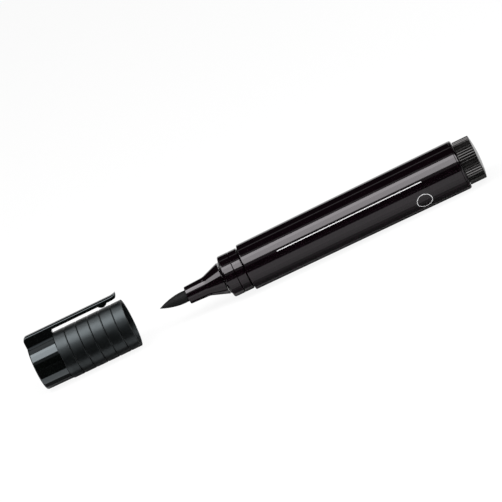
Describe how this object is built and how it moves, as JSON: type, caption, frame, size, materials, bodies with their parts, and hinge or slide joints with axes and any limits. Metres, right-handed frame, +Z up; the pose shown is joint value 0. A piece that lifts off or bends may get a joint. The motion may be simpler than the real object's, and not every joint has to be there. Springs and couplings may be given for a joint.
{
  "type": "brush pen",
  "caption": "Black brush pen with a soft pointed nib, tapered barrel, ribbed end plug and a ring-grooved clip cap that slides off the front.",
  "frame": {"origin": "midway between the crown's flat end and the plug's domed end with the cap drawn off, on the surface that the pen lies on", "axes": "+X along the pen's axis from the nib towards the end plug, +Z up through the clip, Y across the pen"},
  "size_m": [0.1618, 0.017, 0.0206],
  "materials": {
    "gloss_black": "polished moulded black plastic",
    "satin_charcoal": "fine satin moulded charcoal plastic",
    "plug_charcoal": "semi-matt moulded charcoal plastic",
    "nib_felt": "ink-soaked bonded fibre",
    "inked_fibre": "ink-soaked fibre bundle",
    "clear_film": "thin clear film",
    "seal_black": "matt soft plastic"
  },
  "bodies": {
    "pen": {"barrel": "gloss_black", "front_section": "gloss_black", "brush_nib": "nib_felt", "ink_reservoir": "inked_fibre", "reservoir_wrap": "clear_film", "end_plug": "plug_charcoal"},
    "cap": {"cap_crown": "gloss_black", "cap_sleeve": "satin_charcoal", "inner_cap": "seal_black"},
    "clip": {"clip": "gloss_black"}
  },
  "joints": [
    {"name": "cap_slide", "type": "slide", "parent": "pen", "child": "cap", "axis": [1, 0, 0], "range_m": [0, 0.04193]},
    {"name": "clip_flex", "type": "hinge", "parent": "cap", "child": "clip", "pos_m": [-0.07007, 0, 0.01933], "axis": [0, -1, 0], "range_deg": [0, 6], "stiffness_Nm_per_rad": 0.8}
  ]
}
